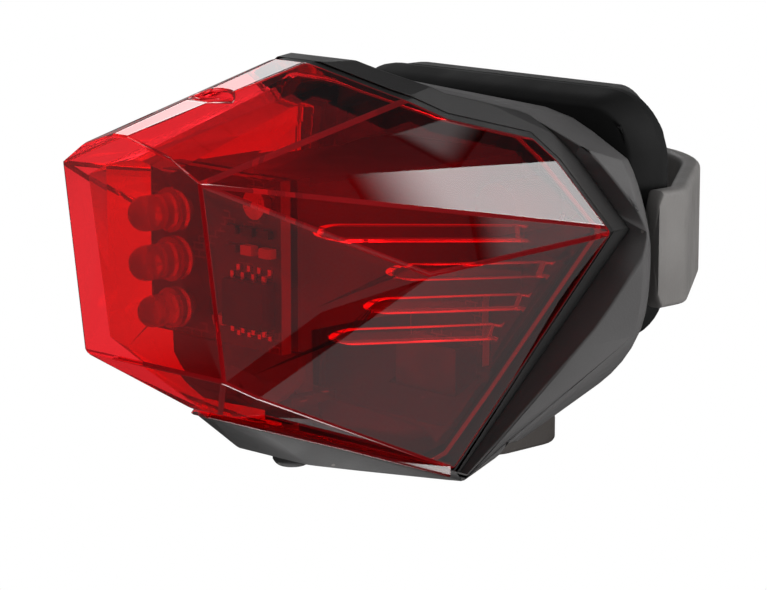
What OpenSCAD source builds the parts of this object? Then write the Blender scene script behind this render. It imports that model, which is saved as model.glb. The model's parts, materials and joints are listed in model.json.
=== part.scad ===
// Faceted bicycle rear light on a seat-post bracket with a rubber strap.
// Frame: origin on the saddle where the post bears, +Y towards the post, -Y to the lens, +Z up, millimetres.

/* [Lens] */
// Distance from the saddle to the front peak of the lens
front_reach = 47.2; // [46:0.2:50]
// Width of the front face
face_width = 17; // [16:0.25:19]
// Width of the small flat at the peak of the face
peak_flat = 1.8; // [1:0.1:3]
// Height of the face peak
peak_z = 10.8; // [10.2:0.1:12]
// Height of the upper side corners of the face
corner_z = 7.6; // [7:0.1:8.4]
// Depth of the lower edge of the face below the strap line
foot_drop = 8.9; // [8.2:0.1:9.8]
// Backward lean of the face from the peak to its lower edge
face_lean = 3.2; // [2.5:0.1:4.5]
// Depth of the keel under the front block
keel_drop = 13.6; // [13:0.1:14.2]
// Half width of the rim at the two side tips
tip_half = 19.8; // [19:0.1:20.4]
// Height of the lens ridge where it meets the bezel
ridge_z = 15.3; // [14.8:0.1:16]
// Width of the flat along the lens ridge
ridge_flat = 3.7; // [2.5:0.1:5]
// Wall of the moulded lens
lens_wall = 1.5; // [1.2:0.1:1.8]
// Thickness of one prism rib inside the lens
rib_height = 1.4; // [0.8:0.1:1.6]
// Height of a prism rib above the inner wall
rib_depth = 1.1; // [0.7:0.1:1.5]
// Downward lean of the prism ribs towards the back
rib_lean = 5; // [0:0.5:8]
// Radius of the half-moon pad cut in the ridge
moon_radius = 2.8; // [2:0.1:3.4]

/* [Housing] */
// Gap line left between the lens and the bezel by the seal
seal_width = 0.5; // [0.3:0.1:0.9]
// Width of the bezel band
bezel_width = 1.7; // [1.2:0.1:2.2]
// Wall of the rear housing
shell_wall = 1.5; // [1.2:0.1:1.8]
// Greatest half width of the housing back
back_half = 22.1; // [21.5:0.1:22.6]
// Distance from the saddle to the flat back of the housing
back_reach = 5.6; // [5.4:0.1:6]
// Diameter of the power button
button_d = 3.4; // [3:0.1:4]
// Height of the button above the chin
button_rise = 0.6; // [0.5:0.05:0.9]
// Travel of the power button
button_travel = 0.6; // [0.3:0.05:0.6]

/* [Port cover] */
// Width of the port cover
cover_width = 16; // [14:0.25:17]
// Corner radius of the port cover
cover_corner = 3; // [2:0.1:4]
// Thickness of the port cover
cover_thick = 2.7; // [2.4:0.1:3]
// Distance from the saddle to the finger edge of the cover
cover_reach = 1.2; // [0.8:0.1:3]
// Diameter of the cover hinge pin
cover_pin_d = 1.2; // [1:0.05:1.4]

/* [Electronics] */
// Diameter of the moulded light-emitting diodes
led_d = 3; // [2.6:0.1:3.2]
// Spacing of the diodes up the board
led_pitch = 4.2; // [4:0.1:4.5]
// Sideways offset of the diode column
led_offset = 3.4; // [2.4:0.1:3.8]
// Thickness of the circuit board
board_thick = 1; // [0.8:0.1:1.4]
// Height of the circuit board
board_height = 14.4; // [13.8:0.1:14.8]
// Width of the rechargeable cell
cell_width = 13.1; // [11:0.1:13.8]
// Thickness of the rechargeable cell
cell_thick = 9.3; // [7.5:0.1:9.8]
// Width of the charging socket shell
socket_width = 7.5; // [6.5:0.1:8]
// Thickness of the charging socket shell
socket_thick = 2.7; // [2.5:0.1:3]
// Depth of the charging socket shell
socket_depth = 5; // [4:0.1:5.4]

/* [Bracket] */
// Half width of the bracket at its back edge
bracket_half = 19.2; // [18.6:0.1:19.8]
// Height of the bracket
bracket_height = 22.4; // [21:0.2:23.6]
// Corner radius of the bracket
bracket_corner = 6; // [5:0.25:7]
// Draft of the bracket wall from back to front
bracket_draft = 1.2; // [0.6:0.1:2]
// Diameter of the swivel boss
boss_d = 12; // [10.5:0.1:13]
// Radius of the post that the saddle is shaped for
post_radius = 14; // [12.5:0.1:16]
// Half width between the crests of the saddle pad
crest_half = 8; // [7:0.25:9]

/* [Strap] */
// Width of the strap
strap_width = 10.3; // [9:0.1:11.5]
// Thickness of the strap
strap_thick = 1.8; // [1.4:0.1:2]
// Gap between the bracket side and the strap
strap_gap = 0.4; // [0.35:0.05:0.6]
// Depth of the loop behind the strap legs
loop_depth = 18.8; // [17:0.2:20]
// Outer radius of the strap where it turns in behind the bracket
strap_turn = 2.5; // [2.3:0.1:3.2]
// Outer radius of the strap round the back of the post
strap_round = 16.7; // [15:0.1:17.4]
// Diameter of the strap pegs
peg_d = 2.2; // [2:0.1:2.8]

/* [Hidden] */
$fn = 48;
eps = 0.02;
wide = 60;
run_fit = 0.06;
press_gap = 0.02;
free_gap = 0.35;

// Lens corner points on the near side, named from the photographed edges.
peak = [peak_flat / 2, -front_reach, peak_z];
knee = [5, 0.5 - front_reach, peak_z - 1.2];
corner = [face_width / 2, 1 - front_reach, corner_z];
foot = [face_width / 2 + 0.2, face_lean - front_reach, -foot_drop];
heel = [face_width / 2 + 0.8, 6.4 - front_reach, -10.6];
keel = [0, 9 - front_reach, -keel_drop];
ridge = [ridge_flat / 2, -28.1, ridge_z];
shoulder = [9, -24.4, 12.7];
step_in = [10, -20.6, 10.6];
brow = [14, -13.5, 8.6];
temple = [16.3, -12.2, 6.7];
tip = [tip_half, -9.2, 0.5];
jaw = [10.6, -18.9, -20.2];
// The side is creased from the heel to the tip; a narrow blade facet follows the first half of the crease.
crease = [15.42, -27, -1.33];
blade = [12.1, -36.2, -3.6];

function flip(p) = [-p[0], p[1], p[2]];
function pairs(list) = concat(list, [for (p = list) flip(p)]);
function beyond(a, b, d) = b + d * (b - a) / norm(b - a);
function facing(a, b, c) = cross(b - a, c - a);
function backward(v) = v * sign(v[1]) / norm(v);
// The crease ends a little behind the rim; from there the upper and lower side facets run on along one line.
nib = beyond(crease, tip, 2);
tip_way = backward(cross(facing(corner, temple, nib), facing(heel, nib, jaw)));

run_on = 5;
gem = concat(
    pairs([peak, knee, corner, foot, heel, crease, blade, nib]),
    pairs([beyond(peak, ridge, run_on), beyond(knee, shoulder, run_on), beyond(corner, brow, run_on),
           beyond(corner, temple, run_on), nib + run_on * tip_way, beyond(heel, jaw, run_on)]),
    [beyond([0, foot[1], foot[2]], keel, 2)]);

// The hollow follows the same corners, each moved in by the wall and run out behind the rim.
w = lens_wall;
hollow_back = 14;
gem_in = concat(
    pairs([peak + [-0.3, 1.3 * w, -1.5 * w], knee + [-0.7 * w, w, -1.2 * w], corner + [-w, 1.1 * w, -0.7 * w],
           foot + [-w, 1.1 * w, 0.9 * w], heel + [-w, 0.6 * w, 1.1 * w], crease + [-1.1 * w, 0, 0],
           blade + [-w, 0.4 * w, 0]]),
    pairs([beyond(peak, ridge, hollow_back) + [-0.3, 0, -1.5 * w],
           beyond(knee, shoulder, hollow_back) + [-0.7 * w, 0, -1.3 * w],
           beyond(corner, temple, hollow_back) + [-1.1 * w, 0, -0.7 * w],
           nib + [-1.1 * w, 0, 0], nib + hollow_back * tip_way + [-1.1 * w, 0, 0],
           beyond(heel, jaw, hollow_back) + [-1.2 * w, 0, 0.8 * w]]),
    [beyond([0, foot[1], foot[2]], keel, hollow_back) + [0, w, 0], keel + [0, 1.6 * w, 1.3 * w]]);

// Side profile (Y, Z) of the joint between lens and bezel, from the ridge round the side tip to the keel.
function yz(p) = [p[1], p[2]];
rim_line = [2 * yz(ridge) - yz(shoulder), yz(ridge), yz(shoulder), yz(step_in), yz(brow), yz(temple), yz(tip),
            yz(jaw), [-30.2, -16.1], yz(keel), [keel[1] - 12, keel[2] + 1]];
function side(a, b) = [a[1] - b[1], b[0] - a[0]] / norm(b - a);
function mitre(m, n) = (m + n) / (1 + m * n);
under_thin = 0.15;
function rim_push(i) =
    i == 0 ? side(rim_line[0], rim_line[1]) :
    i == len(rim_line) - 4 ? [0.45, -0.2] :
    i > len(rim_line) - 4 ? [0, -under_thin] :
    mitre(side(rim_line[i - 1], rim_line[i]), side(rim_line[i], rim_line[i + 1]));
function rim_at(i, d) = rim_line[i] + d * rim_push(i);
function rim_path(d) = [for (i = [0 : len(rim_line) - 1]) rim_at(i, d)];

// Housing outline at its flat back, near side, X and Z.
back_y = -back_reach;
back_edge = [[9.8, 10.3], [18, 7.1], [19.6, 6.2], [back_half - 0.8, 2.5], [back_half, -1.8],
             [back_half - 1, -8.4], [16.6, -13.6], [10, -16.6], [3, -17.9]];
edge_round = 2;
edge_inset = 0.08;
// Smooth curve through the outline points, with the mirrored neighbour beyond each end.
function spline(p, q, r, s, t) =
    (2 * q + (r - p) * t + (2 * p - 5 * q + 4 * r - s) * t * t + (3 * q - p - 3 * r + s) * t * t * t) / 2;
function across_x(q) = [-q[0], q[1]];
function near(list, i) =
    i < 0 ? across_x(list[0]) : i > len(list) - 1 ? across_x(list[len(list) - 1]) : list[i];
function smooth(list, n) = concat(
    [for (i = [0 : len(list) - 2]) for (j = [0 : n - 1])
        spline(near(list, i - 1), list[i], list[i + 1], near(list, i + 2), j / n)],
    [list[len(list) - 1]]);
back_curve = smooth(back_edge, 4);
chin = [[4.4, -35.6, -14.8], [4.4, -30.5, -18.8], [5.5, -25.5, -20], [10.9, -18.2, -21.3]];
grow = [1.035, 1, 1.01];
function times(p, s) = [p[0] * s[0], p[1] * s[1], p[2] * s[2]];
function flat(list, y, k) = [for (q = list) [q[0] * k, y, q[1] * k]];
shell_out = concat(
    pairs([for (p = [ridge, shoulder, brow, temple, tip, jaw]) times(p, grow)]),
    [for (a = [0 : 22.5 : 90])
        each pairs(flat(back_curve, back_y - edge_round * (1 - sin(a)), 1 - edge_inset * (1 - cos(a))))],
    pairs(chin), [keel + [0, 0.4, -0.4]]);
back_wall = 2.2;
inner_back = back_y - back_wall;
tuck = [1 - shell_wall / 18, 1, 1 - shell_wall / 15];
shell_in = concat(
    pairs([for (p = [ridge, shoulder, brow, temple, tip]) times(p, tuck) + [0, -4, 0]]),
    pairs(flat([for (q = back_edge) [q[0], max(q[1], -15)]], inner_back, 1 - shell_wall / 19)),
    pairs([[7, -34.5, -13], [3, -30.8, -18.8 + shell_wall], [4.6, -25.5, -20 + shell_wall],
           [10.9 - shell_wall, -20, -21 + 1.2 * shell_wall], [10, -15.5, -16.4]]));

// Port cover, bracket, strap and board positions.
cover_back = -cover_reach;
cover_front = -15;
cover_half = cover_width / 2;
cover_top = -18.3;
pocket_z = cover_top + free_gap;
cover_pin_y = cover_front + 1.6;
cover_pin_z = cover_top - cover_thick / 2;
knuckle_r = cover_pin_d / 2 + 0.7;
knuckle_half = 3.6;
lug_in = knuckle_half + free_gap;
lug_out = lug_in + 2;
lug_r = knuckle_r - 0.1;
port_y = -10.4;
socket_z = -16.6;

plate_front = -4.9;
plate_back = -1.1;
floor_y = -2.9;
boss_end = floor_y + 0.2;
washer_thick = 0.6;
washer_d = 16;
screw_head = 0.7;
pad_edge = 1;
pad_inset = 1.2;
peg_y = -2.7;
peg_z = -1.4;
peg_cap = 0.6;
bracket_z = 0.5;
strap_in = bracket_half + strap_gap;
strap_out = strap_in + strap_thick;
strap_end = -4.7;
strap_bend = -1.8;
bend_mid = [strap_out - strap_turn, strap_bend];
back_mid = [0, strap_bend + loop_depth - strap_round];
// Angle of the common tangent of the side bend and the back arc.
across_loop = back_mid - bend_mid;
bend_end = atan2(across_loop[1], across_loop[0]) - acos((strap_turn - strap_round) / norm(across_loop));

board_y = 10.3 - front_reach;
board_half = face_width / 2 - 0.4;
board_z = -0.5;
plate_y = board_y + board_thick + 0.8;
plate_thick = 1.4;
tube_wall = 1.2;
cell_gap = 0.25;
tube_half = [cell_width / 2 + cell_gap + tube_wall, cell_thick / 2 + cell_gap + tube_wall];
inner_boss = inner_back - 2;
led_lift = 1.2;
led_barrel = 3.4;
led_z = board_z + 3.8;
chip_pos = [4.9, -3.7];
button_y = -28.2;
window_half = 3.2;
chin_z = -19.4;
anchor = [10.5, 2];

module solid(points) {
    hull() polyhedron(points, [for (i = [2 : len(points) - 1]) [0, i - 1, i]]);
}

module across(points) {
    rotate([90, 0, 90]) linear_extrude(height = 2 * wide, center = true) polygon(points);
}

module ahead(d) {
    across(concat(rim_path(d), [[-wide - 20, keel[2] - 1], [-wide - 20, 40], [rim_at(0, d)[0], 40]]));
}

module along_y(r, y0, y1) {
    translate([0, y1, 0]) rotate([90, 0, 0]) cylinder(r = r, h = y1 - y0);
}

module along_x(r, x0, x1) {
    translate([x0, 0, 0]) rotate([0, 90, 0]) cylinder(r = r, h = x1 - x0);
}

module slab(x, y, z) {
    translate([x[0], y[0], z[0]]) cube([x[1] - x[0], y[1] - y[0], z[1] - z[0]]);
}

// Outline of a rib seen from the side: a bar that tapers to a rounded point at its front end.
module rib_outline(a, b) {
    polygon(concat([[b, a], [-b, a]], [for (t = [-90 : 15 : 90]) [b * sin(t), 3.5 * b * (1 - cos(t)) - a]]));
}

// One prism rib stands on the inner side wall, leaning down towards the back.
module rib(z, y0, y1) {
    intersection() {
        translate([0, (y0 + y1) / 2, z]) rotate([-rib_lean, 0, 0]) rotate([0, 90, 0])
            linear_extrude(height = wide) rib_outline((y1 - y0) / 2, rib_height / 2);
        difference() {
            translate([0.25, 0, 0]) solid(gem_in);
            translate([-rib_depth, 0, 0]) solid(gem_in);
        }
    }
}

module rib_set() {
    rib(1.7, -35, -16);
    rib(-1.9, -29, -13);
    rib(-4.7, -30.5, -14.5);
    rib(-7.2, -33, -16.5);
}

module lens() {
    moon_y = ridge[1] - 10.4;
    moon_z = ridge[2] - 10.4 * (ridge_z - peak_z) / (ridge[1] + front_reach) - 0.05;
    color([0.75, 0.02, 0.03, 0.45]) union() {
        difference() {
            intersection() {
                solid(gem);
                ahead(0);
            }
            solid(gem_in);
            translate([0, moon_y, moon_z]) cylinder(r = moon_radius, h = 10);
            slab([-window_half, window_half], [button_y - window_half, button_y + window_half], [-wide, -10]);
        }
        intersection() {
            union() {
                rib_set();
                mirror([1, 0, 0]) rib_set();
            }
            solid(gem);
        }
    }
}

// A band is the part of a scaled lens shape between two offsets of the rim line, from jaw to jaw.
module band(outer, inner, d0, d1) {
    difference() {
        intersection() {
            scale(outer) solid(gem);
            ahead(d1);
        }
        scale(inner) solid(gem_in);
        ahead(d0);
        slab([-wide, wide], [-wide, jaw[1] - 0.3], [-wide, -10]);
    }
}

module lens_seal() {
    color([0.05, 0.05, 0.05]) band([0.975, 1, 0.985], [0.95, 1, 0.95], 0, seal_width);
}

module bezel() {
    color([0.16, 0.16, 0.17]) intersection() {
        band([0.97, 1, 1.008], [0.95, 1, 0.95], seal_width, seal_width + bezel_width);
        slab([-wide, wide], [-wide, wide], [-wide, ridge_z]);
    }
}

module lug(x) {
    translate([0, cover_pin_y, cover_pin_z]) along_x(lug_r, x, x + lug_out - lug_in);
    slab([x, x + lug_out - lug_in], [cover_pin_y - lug_r, cover_pin_y + lug_r],
        [cover_pin_z, pocket_z + 0.6]);
}

// The housing is a hollow shell with a lip behind the bezel, so that no slot is left round it.
module housing() {
    lip = 1.2;
    color([0.09, 0.09, 0.1]) difference() {
        union() {
            difference() {
                solid(shell_out);
                ahead(seal_width + bezel_width);
                solid(shell_in);
                slab([-wide, wide], [cover_front - free_gap, wide], [-wide, pocket_z]);
            }
            intersection() {
                solid(shell_out);
                band([1.1, 1, 1.1], [0.94, 1, 0.94], seal_width + bezel_width, seal_width + bezel_width + lip);
            }
            along_y(boss_d / 2, back_y - 0.5, boss_end);
            along_y(3.5, inner_boss, inner_back + 0.5);
            lug(lug_in);
            lug(-lug_out);
        }
        along_y(2, inner_back - 3, 0);
        for (s = [-1, 1]) translate([s * anchor[0], 0, anchor[1]]) {
            along_y(1.1, inner_back - 1, 0);
            along_y(2.1, back_y - 1.3, 0);
        }
        translate([0, button_y, chin_z - 3]) cylinder(r = button_d / 2 + free_gap, h = 6);
        slab([-socket_width / 2 - free_gap, socket_width / 2 + free_gap],
             [port_y - socket_thick / 2 - free_gap, port_y + socket_thick / 2 + free_gap], [-30, -14]);
        translate([0, cover_pin_y, cover_pin_z])
            along_x(cover_pin_d / 2 + press_gap, -lug_out - 1, lug_out + 1);
    }
}

module board_holes(r, y0, y1) {
    for (s = [-1, 1]) translate([s * 5.6, 0, board_z + s * 5.2]) along_y(r, y0, y1);
}

// The carrier is a board plate on a square tube that holds the cell and screws to the housing back.
module carrier() {
    z0 = board_z - board_height / 2;
    z1 = board_z + board_height / 2;
    web_z = chin_z + 6.1;
    color([0.2, 0.2, 0.21]) difference() {
        union() {
            slab([-board_half, board_half], [plate_y, plate_y + plate_thick], [z0, z1]);
            slab([-tube_half[0], tube_half[0]], [plate_y + eps, inner_back], [-tube_half[1], tube_half[1]]);
            board_holes(1.5, board_y + board_thick, plate_y + eps);
            for (s = [-1, 1])
                translate([s * anchor[0], 0, anchor[1]]) along_y(2.3, inner_back - 6, inner_back);
            slab([-anchor[0], anchor[0]], [inner_back - 6, inner_back], [anchor[1] - 0.8, anchor[1] + 0.8]);
            slab([-1.5, 1.5], [button_y - 1, button_y + 1], [web_z, -tube_half[1] + eps]);
        }
        slab([tube_wall - tube_half[0], tube_half[0] - tube_wall], [plate_y + plate_thick, inner_back + 1],
             [tube_wall - tube_half[1], tube_half[1] - tube_wall]);
        for (s = [-1, 1]) {
            translate([s * anchor[0], 0, anchor[1]]) along_y(0.8, inner_back - 5, inner_back + 1);
            translate([s * 2.5, 0, 2.6]) along_y(0.9, plate_y - 1, plate_y + 3);
        }
        board_holes(0.7, board_y, plate_y + 1.2);
    }
}

module circuit_board() {
    color([0.5, 0.42, 0.2]) difference() {
        slab([-board_half, board_half], [board_y, board_y + board_thick],
             [board_z - board_height / 2, board_z + board_height / 2]);
        board_holes(0.9, board_y - 1, board_y + 2);
    }
}

// Moulded diode: lead stand-off, flange, barrel and dome, turned to face the lens.
module diode(z, d, barrel) {
    r = d / 2;
    translate([-led_offset, board_y, z]) rotate([90, 0, 0]) rotate_extrude()
        polygon(concat([[0, 0], [r * 0.7, 0], [r * 0.7, led_lift], [r + 0.4, led_lift],
                        [r + 0.4, led_lift + 0.9],
                        [r, led_lift + 0.9]],
                       [for (a = [0 : 9 : 81]) [r * cos(a), led_lift + barrel + r * sin(a)]],
                       [[0, led_lift + barrel + r]]));
}

module led_upper() {
    color([0.95, 0.3, 0.3]) diode(led_z, led_d, led_barrel);
}

module led_lower() {
    color([0.95, 0.3, 0.3]) diode(led_z - led_pitch, led_d, led_barrel);
}

module led_indicator() {
    color([0.95, 0.35, 0.3]) diode(led_z - 2 * led_pitch, led_d * 0.9, led_barrel - 0.7);
}

module controller_chip() {
    color([0.07, 0.07, 0.07]) slab([chip_pos[0] - 2.45, chip_pos[0] + 2.45], [board_y - 1.55, board_y - 0.15],
                                   [chip_pos[1] - 1.95, chip_pos[1] + 1.95]);
}

module lead(x, y0, y1, za, zb) {
    slab([x - 0.2, x + 0.2], [y0, y1], [min(za, zb), max(za, zb)]);
}

module chip_leads() {
    color([0.75, 0.75, 0.75]) for (i = [-1.5 : 1 : 1.5]) for (s = [-1, 1]) {
        x = chip_pos[0] + 1.27 * i;
        z0 = chip_pos[1] + s * 1.95;
        z1 = chip_pos[1] + s * 3;
        lead(x, board_y - 0.9, board_y - 0.7, z0, z0 + s * 0.5);
        lead(x, board_y - 0.9, board_y, z0 + s * 0.4, z0 + s * 0.6);
        lead(x, board_y - 0.2, board_y, z0 + s * 0.4, z1);
    }
}

module small_parts(places, size, y) {
    for (p = places) slab([p[0] - size[0] / 2, p[0] + size[0] / 2], [board_y - y, board_y],
                          [p[1] - size[1] / 2, p[1] + size[1] / 2]);
}

module chip_resistors() {
    color([0.12, 0.12, 0.12]) small_parts([[2.4, 2.2], [4.4, 2.2], [6.4, 2.2], [2.4, 0.6]], [1.2, 0.7], 0.5);
}

module chip_capacitors() {
    color([0.7, 0.6, 0.45]) small_parts([[4.6, 0.7], [6.8, 0.7], [1.2, -5.6]], [1.3, 0.8], 0.8);
}

module board_screws() {
    color([0.7, 0.7, 0.72]) {
        board_holes(1.3, board_y - 0.8, board_y);
        board_holes(0.68, board_y - eps, plate_y + 1.1);
    }
}

module battery_cell() {
    a = cell_width / 2;
    b = cell_thick / 2;
    color([0.55, 0.57, 0.6]) slab([-a, a], [plate_y + plate_thick + 1, inner_boss - 0.9], [-b, b]);
}

module wire(x) {
    translate([x, 0, 2.6]) along_y(0.5, board_y + board_thick, plate_y + plate_thick + 1);
}

module wire_positive() {
    color([0.7, 0.05, 0.05]) wire(2.5);
}

module wire_negative() {
    color([0.05, 0.05, 0.05]) wire(-2.5);
}

module charge_board() {
    y = port_y + socket_thick / 2;
    color([0.1, 0.3, 0.15]) slab([-4.5, 4.5], [y, y + 0.8], [-13.4, -tube_half[1]]);
}

module charging_socket() {
    a = socket_width / 2;
    b = socket_thick / 2;
    color([0.78, 0.78, 0.8]) difference() {
        slab([-a, a], [port_y - b, port_y + b], [socket_z, socket_z + socket_depth]);
        slab([0.4 - a, a - 0.4], [port_y + 0.4 - b, port_y + b - 0.4],
            [socket_z - 1, socket_z + socket_depth - 0.5]);
    }
}

module socket_tongue() {
    a = socket_width / 4;
    color([0.05, 0.05, 0.05])
        slab([-a, a], [port_y - 0.3, port_y + 0.3], [socket_z + 0.8, socket_z + socket_depth - 0.5]);
}

module switch_board() {
    z = chin_z + 5.3;
    color([0.1, 0.3, 0.15]) slab([-2.6, 2.6], [button_y - 2.6, button_y + 2.6], [z, z + 0.8]);
}

module tact_switch() {
    z = chin_z + 3.9;
    color([0.25, 0.25, 0.27]) difference() {
        slab([-1.6, 1.6], [button_y - 1.6, button_y + 1.6], [z, z + 1.4]);
        translate([0, button_y, z - 1]) cylinder(r = 0.75 + run_fit, h = 1.7 + button_travel);
    }
}

module switch_plunger() {
    color([0.8, 0.78, 0.7]) translate([0, button_y, chin_z + 2.9]) cylinder(r = 0.75, h = 1.5);
}

module power_button() {
    r = button_d / 2;
    color([0.13, 0.13, 0.13]) translate([0, button_y, chin_z]) rotate_extrude()
        polygon([[0, -button_rise], [r * 0.6, -button_rise], [r * 0.9, 0.3 - button_rise],
                 [r, 0.7 - button_rise],
                 [r, 2.3], [r + 0.7, 2.3], [r + 0.7, 2.9], [0, 2.9]]);
}

module port_cover() {
    y_tab = port_y;
    color([0.14, 0.14, 0.14]) difference() {
        union() {
            difference() {
                translate([0, 0, cover_top - cover_thick]) linear_extrude(height = cover_thick) hull()
                    for (x = [-1, 1]) {
                        translate([x * (cover_half - cover_corner), cover_back - cover_corner])
                            circle(r = cover_corner);
                        translate([x * (cover_half - 0.5), cover_front + 0.5]) square(1, center = true);
                    }
                slab([-wide, wide], [-wide, cover_pin_y], [-wide, wide]);
                for (x = [knuckle_half, -knuckle_half - wide])
                    slab([x, x + wide], [-wide, cover_pin_y + lug_r + free_gap], [-wide, wide]);
            }
            translate([0, cover_pin_y, cover_pin_z]) along_x(knuckle_r, -knuckle_half, knuckle_half);
            slab([-3, 3], [y_tab - 0.9, y_tab + 0.7], [cover_top - eps, cover_top + 1.1]);
        }
        translate([0, cover_pin_y, cover_pin_z]) along_x(cover_pin_d / 2 + run_fit, -wide, wide);
    }
}

module cover_pin() {
    color([0.7, 0.7, 0.72])
        translate([0, cover_pin_y, cover_pin_z]) along_x(cover_pin_d / 2, -lug_out, lug_out);
}

module housing_screws() {
    color([0.6, 0.6, 0.62]) for (s = [-1, 1]) translate([s * anchor[0], 0, anchor[1]]) difference() {
        union() {
            along_y(1.9, back_y - 1.3, back_y - 0.2);
            along_y(0.78, inner_back - 4, back_y - 1.2);
        }
        slab([-1.3, 1.3], [back_y - 0.6, back_y], [-0.25, 0.25]);
        slab([-0.25, 0.25], [back_y - 0.6, back_y], [-1.3, 1.3]);
    }
}

module threaded_insert() {
    color([0.8, 0.65, 0.3]) difference() {
        along_y(2 - press_gap, inner_back - 1.5, boss_end);
        along_y(1.25, inner_back - 3, 0);
    }
}

module swivel_washer() {
    color([0.75, 0.75, 0.77]) difference() {
        along_y(washer_d / 2, boss_end, boss_end + washer_thick);
        along_y(1.4, boss_end - 1, boss_end + 2);
    }
}

module swivel_screw() {
    y = boss_end + washer_thick;
    color([0.6, 0.6, 0.62]) difference() {
        union() {
            along_y(2.8, y, y + screw_head);
            along_y(1.23, inner_back - 1, y + eps);
        }
        slab([-1.8, 1.8], [y + screw_head - 0.5, y + 2], [-0.3, 0.3]);
        slab([-0.3, 0.3], [y + screw_head - 0.5, y + 2], [-1.8, 1.8]);
    }
}

module corners(half_x, half_z, r, y0, y1) {
    for (x = [r - half_x, half_x - r]) for (z = [r - half_z, half_z - r])
        translate([x, 0, bracket_z + z]) along_y(r, y0, y1);
}

module bracket() {
    half_z = bracket_height / 2;
    d = bracket_draft;
    color([0.1, 0.1, 0.11]) difference() {
        hull() {
            corners(bracket_half - d, half_z - d, bracket_corner - d, plate_front, plate_front + 1);
            corners(bracket_half - d / 3, half_z - d / 3, bracket_corner - d / 3,
                plate_front + 1.4, plate_front + 2);
            corners(bracket_half, half_z, bracket_corner, plate_back - 1, plate_back);
        }
        along_y(boss_d / 2 + run_fit, plate_front - 1, plate_back + 1);
        along_y(washer_d / 2 + 0.4, floor_y, plate_back + 1);
        translate([0, peg_y, peg_z]) along_x(peg_d / 2 + press_gap, bracket_half - 4, wide);
        translate([0, peg_y, peg_z]) along_x(peg_d / 2 + press_gap, -wide, 4 - bracket_half);
    }
}

// The saddle pad carries a trough of the post radius between two crests.
module saddle_pad() {
    half_z = bracket_height / 2;
    crest = post_radius - sqrt(post_radius * post_radius - crest_half * crest_half);
    e = plate_back + pad_edge;
    color([0.17, 0.17, 0.17]) difference() {
        intersection() {
            hull() corners(bracket_half - pad_inset, half_z, bracket_corner, plate_back, 10);
            translate([0, 0, -wide]) linear_extrude(height = 2 * wide)
                polygon([[-wide, plate_back], [wide, plate_back], [wide, e], [bracket_half - 3, e],
                         [crest_half + 0.8, crest],
                         [-crest_half - 0.8, crest], [3 - bracket_half, e], [-wide, e]]);
        }
        translate([0, post_radius, -wide]) cylinder(r = post_radius, h = 2 * wide, $fn = 128);
    }
}

// The near peg ends inside the strap, moulded over it; the far one has a head that the strap hooks over.
module peg_near() {
    color([0.12, 0.12, 0.12])
        translate([0, peg_y, peg_z]) along_x(peg_d / 2, bracket_half - 4, strap_out - peg_cap);
}

module peg_far() {
    color([0.12, 0.12, 0.12]) mirror([1, 0, 0]) translate([0, peg_y, peg_z]) {
        along_x(peg_d / 2, bracket_half - 4, strap_out + 0.3);
        along_x(peg_d / 2 + 0.9, strap_out + 0.25, strap_out + 1.1);
    }
}

function arc(c, r, from, to, n) =
    [for (i = [0 : n]) let (t = from + (to - from) * i / n) c + r * [cos(t), sin(t)]];

// Near half of the loop: a side bend tangent to the leg, a straight run, then the arc round the post.
function half_loop(t) = concat(arc(bend_mid, strap_turn - t, 0, bend_end, 8),
                               arc(back_mid, strap_round - t, bend_end, 90, 16));
function reversed(list) = [for (i = [len(list) - 1 : -1 : 0]) list[i]];
function whole_loop(t) = concat(half_loop(t), [for (p = reversed(half_loop(t))) [-p[0], p[1]]]);

module strap() {
    outer = whole_loop(0);
    inner = reversed(whole_loop(strap_thick));
    color([0.16, 0.16, 0.16]) difference() {
        translate([0, 0, peg_z - strap_width / 2]) linear_extrude(height = strap_width)
            polygon(concat([[strap_out, strap_end]], outer,
                           [[-strap_out, strap_end], [-strap_in, strap_end]], inner,
                           [[strap_in, strap_end]]));
        translate([0, peg_y, peg_z]) along_x(peg_d / 2 + run_fit, -wide, strap_out - peg_cap + run_fit);
    }
}

lens();
lens_seal();
bezel();
housing();
carrier();
circuit_board();
led_upper();
led_lower();
led_indicator();
controller_chip();
chip_leads();
chip_resistors();
chip_capacitors();
board_screws();
battery_cell();
wire_positive();
wire_negative();
charge_board();
charging_socket();
socket_tongue();
switch_board();
tact_switch();
switch_plunger();
power_button();
port_cover();
cover_pin();
housing_screws();
threaded_insert();
swivel_washer();
swivel_screw();
bracket();
saddle_pad();
peg_near();
peg_far();
strap();
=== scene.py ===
# %% [markdown]
# A bicycle rear light: a red faceted lens over a small circuit board, a black housing behind it, a
# bracket that sits on the seat post, and a rubber strap that goes round the post. The solids come from
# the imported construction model, in metres and already in place. This lesson dresses them: it gives the
# hard parts their finishes, builds the rubber parts again as soft shapes, and lights the whole.

# %% Load the construction model
import json

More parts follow.
